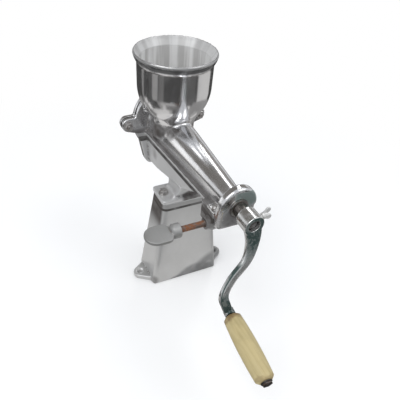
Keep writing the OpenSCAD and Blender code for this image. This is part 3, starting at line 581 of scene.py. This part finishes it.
def housing_shape(p):
    """Brings the remeshed surface onto the true cup and tube, away from their joints."""
    tiny = 1e-6
    cup_from, cup_fade = NECK_UP + 9, 5
    outside_top, inside_top = RIM_UP - RIM_H - 1.2, RIM_UP - 3
    for inset, top, top_fade in ((0, outside_top, 1.5), (WALL, inside_top, 2)):
        x, y = p[:, 0], p[:, 1] - HOPPER_Y
        up = p[:, 2] - AXIS_Z
        r = np.hypot(x, y)
        true = cup_radius(up, inset)
        w = weight(np.abs(r - true), 0.35, 1.0) * rise_from(up, cup_from, cup_fade)
        w *= fall_to(up, top, top_fade)
        k = 1 + w * (true / np.maximum(r, tiny) - 1)
        p[:, 0] = x * k
        p[:, 1] = HOPPER_Y + y * k

    tube_from, tube_to = NEAR_Y + 6, HOPPER_Y - NECK_R - 4
    true = TUBE_NEAR + (TUBE_FAR - TUBE_NEAR) * (p[:, 1] - NEAR_Y) / (FAR_Y - NEAR_Y)
    rise = p[:, 2] - AXIS_Z
    r = np.hypot(p[:, 0], rise)
    w = weight(np.abs(r - true), 0.2, 0.6) * rise_from(rise, 0, 2)
    w *= rise_from(p[:, 1], tube_from, 4) * fall_to(p[:, 1], tube_to, 6)
    k = 1 + w * (true / np.maximum(r, tiny) - 1)
    p[:, 0] *= k
    p[:, 2] = AXIS_Z + rise * k
    return p


def housing_soft(p):
    """Less smoothing at the thin rim, more where the neck grows out of the tube."""
    root_r, root_z, root_end_y = NECK_R + 1, AXIS_Z + 13, 60
    rim = rise_from(p[:, 2], AXIS_Z + RIM_UP - 6, 3)
    r = np.hypot(p[:, 0], p[:, 1] - HOPPER_Y)
    root = weight(np.abs(r - root_r), 3, 9) * weight(np.abs(p[:, 2] - root_z), 9, 16)
    return 1 - 0.85 * rim + root * (p[:, 1] < root_end_y)


def hopper_housing():
    """The housing with four materials: the casting, the hopper's outside, its inside and its rim."""
    casting, outside, inside, rim = range(4)
    inside_from, inside_to, outside_from = NECK_UP + 2, RIM_UP - 0.8, NECK_UP + 10
    rim_from, rim_mid_r = RIM_UP - 3.4, RIM_R - 1.8
    piece = cast("upper_housing", "hopper_housing", 1.0, 8, housing_shape, housing_soft, 26)
    centres = np.array([f.center for f in piece.data.polygons]) / MM
    out = np.hypot(centres[:, 0], centres[:, 1] - HOPPER_Y)
    up = centres[:, 2] - AXIS_Z
    flare = rise_from(up, RIM_UP - RIM_H, RIM_H - 3) * (rim_mid_r - CUP_R + WALL / 2)
    within = (up > inside_from) & (up < inside_to) & (out < cup_radius(up, WALL / 2) + flare)
    kinds = np.select([within, up >= rim_from, up > outside_from], [inside, rim, outside], casting)
    dull_from = AXIS_Z + RIM_UP - RIM_H
    # The outside's rim band faces down under the flare and is painted almost black as shade; the inside
    # has painted reflection streaks and a duller, greyer flare
    materials = [
        polished,
        hopper_metal("hopper_outside", (0.82, 0.82, 0.83), 0.16, 0.65, dull=dull_from + 0.5,
                     dull_share=0.95, dull_color=(0.05, 0.05, 0.05)),
        hopper_metal("hopper_inside", (0.88, 0.88, 0.875), 0.36, 0.6, reflection_streaks=0.5, metallic=0.35,
                     dull=dull_from),
        hopper_metal("hopper_rim", (0.42, 0.42, 0.42), 0.36, 0.3, metallic=0.8)]
    done(piece, "stand", materials, "upper_housing")
    piece.data.polygons.foreach_set("material_index", kinds.tolist())


# The castings

# foot is painted shade on the tube's flank just above the lip. The films: patina at the near end,
# painted shadow under the lip at the near end, and dark patches round the neck's root that are partly
# grime and partly painted shade. The spots are brown stains.
polished = cast_metal("polished_cast", (0.8, 0.8, 0.81), 0.2, foot=(PART_Z + 3, PART_Z + 13, -112),
                      films_and_shades=[((10, -138, 236), 14, 8, 0.85, PATINA), ((-4, -138, 207), 13, 9, 0.8, SHADE_AND_GRIME),
                             ((-29, 50, 228), 12, 12, 0.9, SHADE_AND_GRIME), ((-34, 30, 253), 7, 9, 0.85, SHADE_AND_GRIME),
                             ((-8, 4, 254), 6, 8, 0.8, SHADE_AND_GRIME), ((-14, 15, 237), 9, 8, 0.9, SHADE_AND_GRIME),
                             ((-25, 33, 229), 7, 7, 0.9, SHADE_AND_GRIME)],
                      spots=[((2, 15, 243), 8, 12, 0.85), ((20, 24, 238), 3, 9, 0.7)])
hopper_housing()

# The band is a painted shadow under the lip, and the hollow corners get grime and painted shade. The
# films: painted shade under the lip at the near end and at the trough's foot, and a darker patch low on
# the left at the far end.
trough_metal = cast_metal("trough_cast_metal", (0.64, 0.64, 0.64), 0.36, stain_and_shade=(0.06, 0.055, 0.05),
                          crease_darkening=0.8, wave=0.1, band=(PART_Z - 11.5, PART_Z - 5), metallic=0.6,
                          films_and_shades=[((-26, -112, 196), 14, 8, 0.9, SHADE_AND_GRIME), ((6, -20, 155), 13, 7, 0.9, SHADE_AND_GRIME),
                                 ((-19, 50, 187), 5, 8, 0.6, SHADE_AND_GRIME)])
# The band is a painted shadow under the cap, shade is painted shade on the left face under the cap, and
# the grey films are a painted dark reflection over the lower front. The last film makes the bottom left
# front corner darker.
pedestal_metal = cast_metal("pedestal_cast", (0.54, 0.54, 0.535), 0.34, stain_and_shade=(0.08, 0.075, 0.07),
                            crease_darkening=0.85, metallic=0.6, band=(139.5, 142.5), shade=(97, 126),
                            films_and_shades=[((62, -31, -14), 46, 14, 0.75, PAINTED_REFLECTION_GREY),
                                   ((20, -31, -23), 40, 9, 0.75, PAINTED_REFLECTION_GREY),
                                   ((-14, -31, -20), 23, 6, 0.7, PAINTED_REFLECTION_GREY),
                                   ((-60, -31, 8), 5, 8, 0.6, SHADE_AND_GRIME)])
# The film is painted shade on the auger's end inside the hub's bore
screw_metal = cast_metal("screw_cast_metal", (0.7, 0.7, 0.7), 0.3,
                         films_and_shades=[((0, -169, 220), 11, 4, 1.0, SHADE_AND_GRIME)])
satin = cast_metal("satin_cast", (0.36, 0.36, 0.355), 0.42, wave=0.1, metallic=0.7)
wing_metal = cast_metal("wing_cast", (0.68, 0.68, 0.67), 0.4, metallic=0.5)

# Each is node, piece, voxel in mm, rounds of smoothing, body and material
for node, name, voxel, rounds, body, metal in (
        ("juice_trough", "trough_cast", 1.0, 7, "stand", trough_metal),
        ("pedestal", "pedestal_casting", 1.2, 6, "stand", pedestal_metal),
        ("end_cover", "cover_cast", 0.9, 6, "stand", polished),
        ("auger", "screw_cast", 0.8, 4, "crank", screw_metal),
        ("crank_arm", "crank_cast", 0.6, 7, "crank", tarnished("crank_metal")),
        ("choke_knob", "spade_knob", 0.5, 7, "choke", satin),
        ("crank_set_screw", "wing_screw", 0.3, 4, "crank_screw", wing_metal)):
    done(cast(node, name, voxel, rounds), body, [metal], node)

# Bolts, nuts, washers and the pad: each is node, width of its broken edges in mm, body and material

bolt_metal = steel("bolt_steel", rough=0.32, rust=0.55)
dark_steel = steel("dark_steel", (0.12, 0.11, 0.105), 0.38, 0.5)
for node, width, body, metal in (
        ("cover_bolts", 0.5, "stand", bolt_metal), ("cover_nuts", 0.4, "stand", bolt_metal),
        ("lip_bolts", 0.4, "stand", bolt_metal), ("foot_bolts", 0.5, "stand", bolt_metal),
        ("foot_nuts", 0.5, "stand", bolt_metal), ("cover_washers", 0.25, "stand", bolt_metal),
        ("foot_washers", 0.25, "stand", bolt_metal), ("choke_pad", 0.5, "choke_slider", satin),
        ("handle_nut", 0.5, "crank", dark_steel), ("handle_washer", 0.3, "crank", dark_steel)):
    done(bevelled(node, node + "_finished", width), body, [metal], node)

# Pieces that stay as the frame has them, with a material each

bush_metal = bronze("bush_bronze")
for node, material in (("strainer", steel("bright_steel", (0.6, 0.6, 0.6), 0.24, 0.1)),
                       ("cover_gasket", rubber("gasket_rubber")), ("rear_bushing", bush_metal),
                       ("front_bushing", bush_metal), ("thrust_washer", bolt_metal),
                       ("handle_pin", dark_steel)):
    plain_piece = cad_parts[node]
    plain_piece.data.materials.clear()
    plain_piece.data.materials.append(material)


# Choke rod and grip

def choke_rod():
    """The cross rod with its thread wound between the ends of the frame's box, in mm.
    gap keeps it just inside the frame's own form."""
    pitch, depth, run_out, gap = 1.25, 0.55, 1.5, 0.02
    sides, steps = 28, 8
    low, high = [Vector(p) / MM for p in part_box("choke_screw")]
    y, z, outer = (low.y + high.y) / 2, (low.z + high.z) / 2, (high.y - low.y) / 2
    rings = int((high.x - low.x) / pitch * steps)
    verts, faces = [(low.x, y, z)], []
    for j in range(rings + 1):
        x = low.x + (high.x - low.x) * j / rings
        fade = min(1, (high.x - x) / run_out, (x - low.x) / run_out)
        for k in range(sides):
            a = 2 * math.pi * k / sides
            turn = (j / steps - k / sides) % 1
            r = outer - gap - depth * fade * abs(2 * turn - 1)
            verts.append((x, y + r * math.cos(a), z + r * math.sin(a)))
    verts.append((high.x, y, z))
    last_ring = 1 + rings * sides
    for k in range(sides):
        beside = (k + 1) % sides
        faces.append((0, 1 + beside, 1 + k))
        faces.append((len(verts) - 1, last_ring + k, last_ring + beside))
        for ring in range(1, last_ring, sides):
            faces.append((ring + k, ring + beside, ring + beside + sides, ring + k + sides))
    piece = new_object("choke_rod", [Vector(v) * MM for v in verts], faces)
    fix_normals(piece.data)
    smooth_shade(piece.data)
    done(piece, "choke", [rusty("rusty_rod")], "choke_screw")


def grip_profile():
    """The grip's turned outline from the crank's end on: two rounded ends, a belly between them.
    gap keeps it just inside the frame's own form."""
    gap = 0.02
    belly_from, belly_l, points = 2.5, GRIP_L - 6.5, 40
    belly_r = GRIP_R - 0.05 - END_R
    profile = [(gap, BORE_R), (gap, END_R - 1.9), (0.4, END_R - 1.2), (1.1, END_R - 0.7)]
    for i in range(points + 1):
        u = i / points
        r = END_R + belly_r * math.sin(math.pi * (0.06 + 0.86 * u)) ** 0.7
        uneven = 0.12 * math.sin(23 * u) * u * (1 - u)
        profile.append((belly_from + belly_l * u, r - uneven))
    profile += [(GRIP_L - 2.0, END_R - 1.1), (GRIP_L - 0.8, END_R - 2.3), (GRIP_L - gap, END_R - 4.2)]
    return profile + [(GRIP_L - gap, BORE_R)]


def wooden_grip():
    """The turned handle on its pin, which leans by PIN_LEAN from the crank's axis."""
    swing, lean, sharp = math.radians(CRANK_ANGLE), math.radians(PIN_LEAN), 50
    pin = Vector((-CRANK_R * math.sin(swing), ARM_END_Y, AXIS_Z - CRANK_R * math.cos(swing)))
    along = Vector((-math.sin(lean), -math.cos(lean), 0))
    start = pin + along * GRIP_SET
    piece = lathe("wooden_grip", start, along, grip_profile())
    smooth_shade(piece.data)
    piece.data.set_sharp_from_angle(angle=math.radians(sharp))
    done(piece, "grip", [wood("pale_wood", start, along, GRIP_L)], "handle")


choke_rod()
wooden_grip()


# Camera

def fitted_camera():
    """The pinhole camera fitted to the photograph, whose optical centre is low in the picture.
    Distances of the fit are in its own unit."""
    picture_px, focal_px, centre_x_px, centre_y_px = 400, 370.51, 171.15, 311.5
    tilt, turn, roll = math.radians(53.16), math.radians(-27.02), math.radians(3.95)
    unit, distance, shift_right, shift_up = 0.0015, 523.29, -3.68, -97.97
    sensor = 36
    back = Vector((math.sin(turn) * math.cos(tilt), -math.cos(turn) * math.cos(tilt), math.sin(tilt)))
    right = Vector((math.cos(turn), math.sin(turn), 0))
    upward = right.cross(-back)
    axis_x = right * math.cos(roll) + upward * math.sin(roll)
    axis_y = upward * math.cos(roll) - right * math.sin(roll)
    place = (right * shift_right + Vector((0, 0, shift_up)) + back * distance) * unit
    camera = bpy.data.objects.new("camera", bpy.data.cameras.new("camera"))
    bpy.context.collection.objects.link(camera)
    columns = [(*axis_x, 0), (*axis_y, 0), (*back, 0), (*place, 1)]
    camera.matrix_world = Matrix(columns).transposed()
    camera.data.sensor_width = sensor
    camera.data.lens = sensor * focal_px / picture_px
    camera.data.shift_x = (picture_px / 2 - centre_x_px) / picture_px
    camera.data.shift_y = (centre_y_px - picture_px / 2) / picture_px
    camera.data.clip_start, camera.data.clip_end = 0.01, 50
    bpy.context.scene.camera = camera


# Floor and reflection cards, in m and degrees

PART_MIDDLE = Vector((0, 0, 0.2))
PANEL_EDGE = 4


def toward(azimuth, elevation, distance):
    """A point at a distance from the part's middle, azimuth from +X and elevation in degrees."""
    a, e = math.radians(azimuth), math.radians(elevation)
    outward = Vector((math.cos(a) * math.cos(e), math.sin(a) * math.cos(e), math.sin(e)))
    return outward * distance + PART_MIDDLE


def floor_material(name, color):
    """Pale floor that takes the part's shadow and turns plain white away from it."""
    shadow_to, white_from = 0.28, 0.75
    t = Tree(name)
    path = t.add("ShaderNodeLightPath").outputs
    seen = t.largest(path["Is Camera Ray"], path["Is Glossy Ray"], path["Is Transmission Ray"])
    far = t.vector_math("LENGTH", t.coords)["Value"]
    surface = t.add("ShaderNodeBsdfPrincipled")
    t.put(surface.inputs["Base Color"], color)
    surface.inputs["Roughness"].default_value = 0.9
    mix = t.add("ShaderNodeMixShader")
    t.put(mix.inputs[0], t.times(seen, t.ramp(far, shadow_to, white_from)))
    t.put(mix.inputs[1], surface.outputs[0])
    t.put(mix.inputs[2], t.emission((1, 1, 1)))
    return t.close(mix.outputs[0])


def white_floor():
    """The table under the part, half its width to each side."""
    half = 8
    corners = [(-half, -half, 0), (half, -half, 0), (half, half, 0), (-half, half, 0)]
    floor = new_object("floor", corners, [(0, 1, 2, 3)])
    floor.data.materials.append(floor_material("pale_floor", (0.96, 0.96, 0.96)))


def only_reflected(card, material):
    """A glowing card that only mirrors see."""
    card.data.materials.append(material)
    card.visible_camera = card.visible_diffuse = card.visible_shadow = False
    card.visible_transmission = card.visible_volume_scatter = False


def ring_stops(plain, panels):
    """Brightness round a ring as (degree, value), closed after 360 degrees."""
    stops = []
    for first, last, value in panels:
        stops += [(first - PANEL_EDGE, plain), (first, value), (last, value), (last + PANEL_EDGE, plain)]
    stops = stops or [(0, plain)]
    return stops + [(stops[0][0] + 360, stops[0][1])]


def ring_material(name, plain, panels):
    """A glow round the hopper's axis with the ring's panels, a little warm."""
    warm_green, warm_blue = 0.985, 0.97
    stops = ring_stops(plain, panels)
    start = stops[0][0]
    t = Tree(name)
    x, y = t.split()[:2]
    angle = t.math("ARCTAN2", t.math("SUBTRACT", y, HOPPER_Y * MM), x)
    first = math.radians(start)
    angle = t.math("WRAP", angle, first + 2 * math.pi, first)
    ramp = t.add("ShaderNodeValToRGB")
    t.put(ramp.inputs[0], t.math("DIVIDE", t.math("SUBTRACT", angle, first), 2 * math.pi))
    elements = ramp.color_ramp.elements
    for degree, _ in stops[1:-1]:
        elements.new((degree - start) / 360)
    for element, (degree, value) in zip(elements, stops):
        element.position = (degree - start) / 360
        element.color = (value, value * warm_green, value * warm_blue, 1)
    return t.close(t.emission(ramp.outputs[0]))


def floor_card(name, inner, outer, plain, panels):
    """A ring lying on the floor round the hopper, of one plain brightness with some panels in it:
    (first, last degree from +X, brightness), with soft edges."""
    sides, lift = 120, 0.002
    verts, faces = [], []
    for i in range(sides):
        a = 2 * math.pi * i / sides
        verts += [(r * math.cos(a), HOPPER_Y * MM + r * math.sin(a), lift) for r in (inner, outer)]
        here, beside = 2 * i, 2 * ((i + 1) % sides)
        faces.append((here, here + 1, beside + 1, beside))
    only_reflected(new_object(name, verts, faces), ring_material(name, plain, panels))


def sky_card(name, distance, turns, heights, color):
    """A curved card over the table between two azimuths and two elevations."""
    wide, high = 16, 8
    verts = []
    for j in range(high + 1):
        elevation = heights[0] + (heights[1] - heights[0]) * j / high
        for i in range(wide + 1):
            azimuth = turns[0] + (turns[1] - turns[0]) * i / wide
            verts.append(toward(azimuth, elevation, distance))
    row = wide + 1
    faces = [(j * row + i, j * row + i + 1, (j + 1) * row + i + 1, (j + 1) * row + i)
             for j in range(high) for i in range(wide)]
    t = Tree(name)
    tone = t.mix(t.ramp(t.noise(3, 2), 0.3, 0.7), shaded(color, 0.995), color)
    only_reflected(new_object(name, verts, faces), t.close(t.emission(tone)))


# What the polished parts reflect: a room of grey rings on the floor with dark and light panels,
# each (inner radius, outer radius, plain brightness, panels)
RINGS = {
    "card_a": (0.0, 0.145, 0.75, []),
    "card_b": (0.145, 0.24, 0.4, [(131, 144, 0.1), (160, 228, 0.65), (243, 256, 0.12), (273, 298, 0.75),
                                  (314, 336, 0.3), (366, 378, 0.7)]),
    "card_c": (0.24, 0.36, 0.3, [(113, 127, 0.7), (151, 159, 0.9), (166, 196, 0.1), (212, 218, 0.6),
                                 (226, 262, 0.18), (277, 298, 0.75)]),
    "card_d": (0.36, 0.5, 0.3, [(120, 134, 0.15), (144, 151, 0.75), (156, 192, 0.06), (206, 248, 0.45),
                                (258, 304, 0.13)]),
    "card_e": (0.5, 1.05, 0.06, [(136, 141, 0.25), (168, 171, 0.1), (179, 194, 0.35), (201, 213, 0.17),
                                 (268, 308, 0.11), (320, 370, 0.6)]),
    "card_f": (1.05, 4.0, 0.1, [(134, 142, 1.3), (330, 410, 0.5)]),
}

fitted_camera()
white_floor()
for name, ring in RINGS.items():
    floor_card(name, *ring)
sky_card("card_sky", 3.0, (64, 150), (15, 62), (0.19, 0.178, 0.166))
sky_card("card_haze", 3.0, (20, 62), (9, 35), (0.25, 0.235, 0.22))
sky_card("card_line", 2.9, (131, 140), (-6, 15), (1.4, 1.4, 1.4))


# Light

def lamp(name, at, to, width, height, power):
    """A rectangular lamp, sizes in m and power in W."""
    light = bpy.data.lights.new(name, "AREA")
    light.shape = "RECTANGLE"
    light.size, light.size_y = width, height
    light.energy = power
    holder = bpy.data.objects.new(name, light)
    bpy.context.collection.objects.link(holder)
    holder.location = at
    holder.rotation_mode = "QUATERNION"
    holder.rotation_quaternion = (Vector(to) - at).to_track_quat("-Z", "Y")


lamp("key", toward(200, 55, 1.8), (0, 0, 0.15), 1.2, 1.2, 12)
lamp("fill", toward(-40, 50, 2.0), (0, 0, 0.15), 1.2, 1.2, 8)
lamp("strip", toward(55, 42, 1.9), (0, 0, 0.2), 0.16, 1.1, 3)

world = bpy.data.worlds.new("studio")
world.use_nodes = True
bpy.context.scene.world = world
background = world.node_tree.nodes["Background"]
background.inputs["Color"].default_value = (0.95, 0.97, 1.0, 1)
background.inputs["Strength"].default_value = 0.72
bpy.context.scene.view_settings.view_transform = "Standard"
